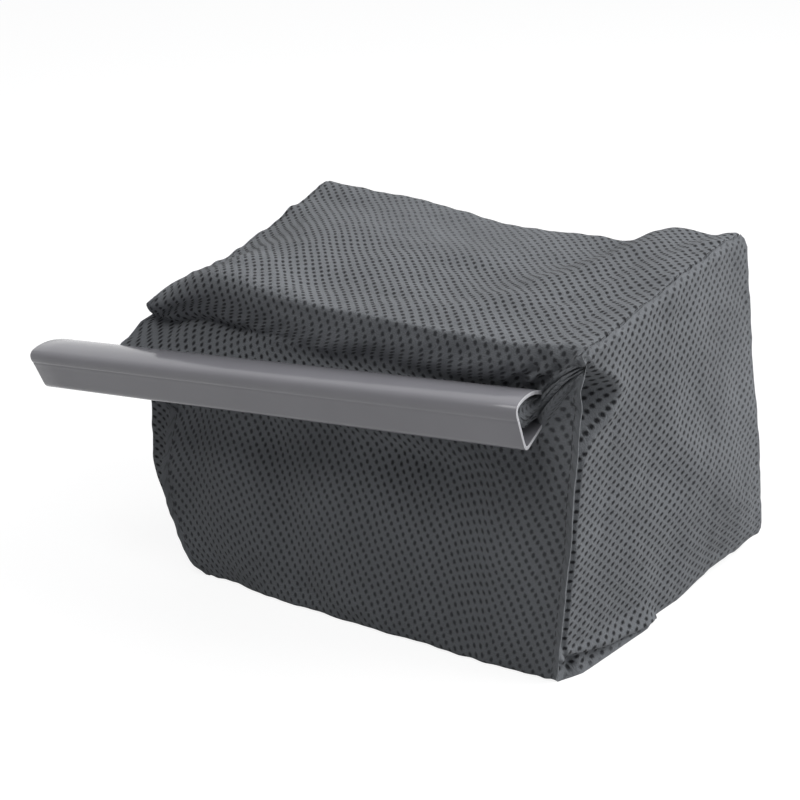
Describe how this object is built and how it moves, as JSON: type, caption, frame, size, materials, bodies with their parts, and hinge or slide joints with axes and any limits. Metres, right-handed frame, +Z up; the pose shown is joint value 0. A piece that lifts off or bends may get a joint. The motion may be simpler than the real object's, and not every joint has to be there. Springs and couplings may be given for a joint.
{
  "type": "vacuum dust bag",
  "caption": "Reusable boxed vacuum dust bag of grey nonwoven cloth, closed by a slide-on plastic rail along its front, with an inlet collar on the back.",
  "frame": {"origin": "middle of the bag's bounding box in plan, on the surface it stands on", "axes": "+X along the closing rail to the right as seen from the rail's side, +Y from the rail's side to the inlet's side, +Z up"},
  "size_m": [0.2686, 0.1756, 0.147],
  "materials": {
    "cloth": "matt embossed nonwoven",
    "grey_plastic": "satin, extruded",
    "rubber": "matt"
  },
  "bodies": {
    "bag": {"cloth_strip": "cloth", "side_panel_right": "cloth", "side_panel_left": "cloth", "inlet_collar": "grey_plastic", "inlet_seal": "rubber", "collar_back_ring": "grey_plastic"},
    "rail": {"closing_rail": "grey_plastic"}
  },
  "joints": [
    {"name": "rail_slide", "type": "slide", "parent": "bag", "child": "rail", "axis": [-0.9962, -0.0208, -0.0849], "range_m": [0, 0.2]}
  ]
}
